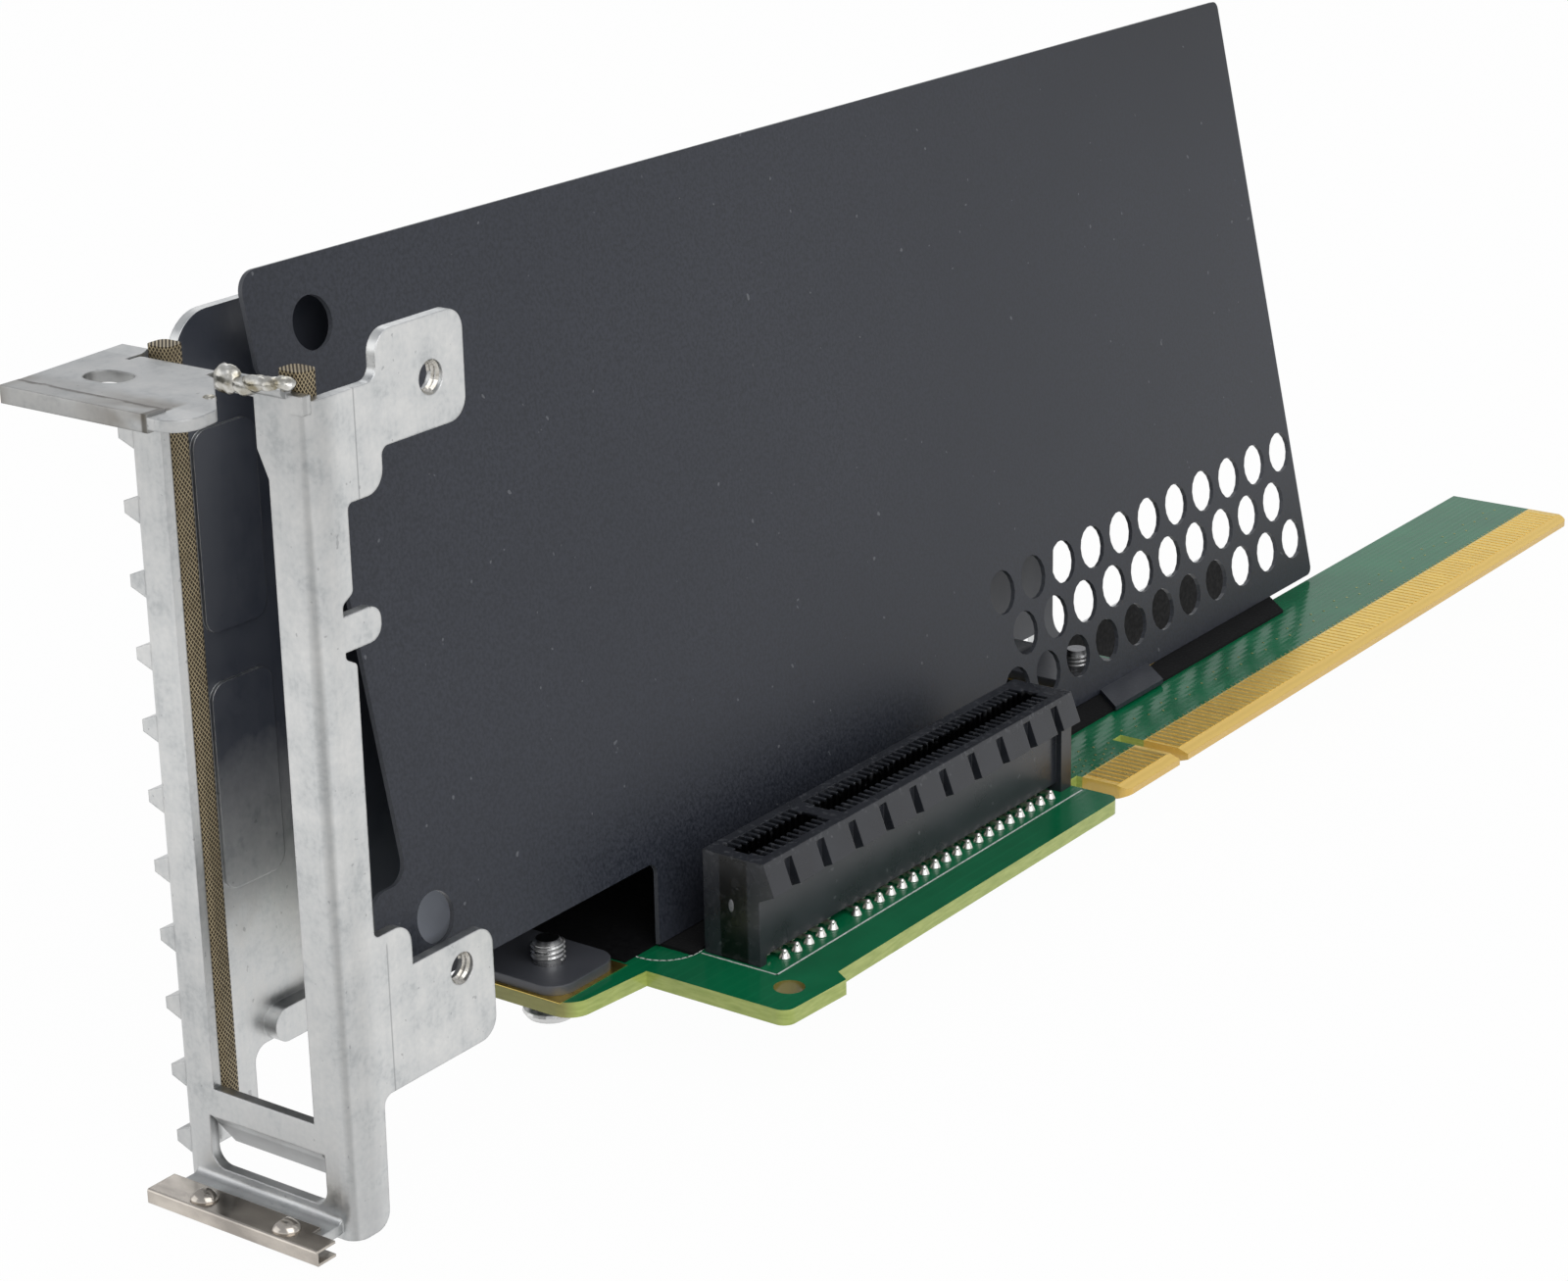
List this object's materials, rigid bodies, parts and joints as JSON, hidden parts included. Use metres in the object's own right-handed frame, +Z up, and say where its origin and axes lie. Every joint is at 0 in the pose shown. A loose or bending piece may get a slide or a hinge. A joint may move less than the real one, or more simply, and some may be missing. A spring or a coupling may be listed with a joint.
{
  "type": "pcie riser card",
  "caption": "Riser card for a server: card slot on a narrow board with a long gold edge, a folded steel cage with a bracket opening, and a leaning insulating film with vents.",
  "frame": {"origin": "middle of the card slot's first contact pair, on the board's top face", "axes": "+X from the slot's centreline to the gold edge, +Y along the slot away from the bracket opening, +Z up out of the slot"},
  "size_m": [0.0384, 0.2322, 0.0818],
  "materials": {
    "galvanised_steel": "galvanised, dull",
    "circuit_board": "green solder mask over glass fibre laminate",
    "film": "dark satin film",
    "foam": "black foam tape",
    "connector_plastic": "satin moulding",
    "plated_contact": "plated",
    "gold_plating": "gold plated copper",
    "gasket_fabric": "metallised mesh",
    "spring_clip": "nickel plated",
    "screw_steel": "zinc plated"
  },
  "bodies": {
    "root": {"riser_cage": "galvanised_steel", "riser_board": "circuit_board", "insulator_film": "film", "foam_tape": "foam", "slot_housing": "connector_plastic", "contacts_outer_left": "plated_contact", "contacts_outer_right": "plated_contact", "contacts_inner_left": "plated_contact", "contacts_inner_right": "plated_contact", "edge_fingers_top": "gold_plating", "edge_fingers_bottom": "gold_plating", "ground_pads": "gold_plating", "gasket_left": "gasket_fabric", "gasket_right": "gasket_fabric", "grounding_clip": "spring_clip", "mounting_screws": "screw_steel"}
  },
  "joints": []
}
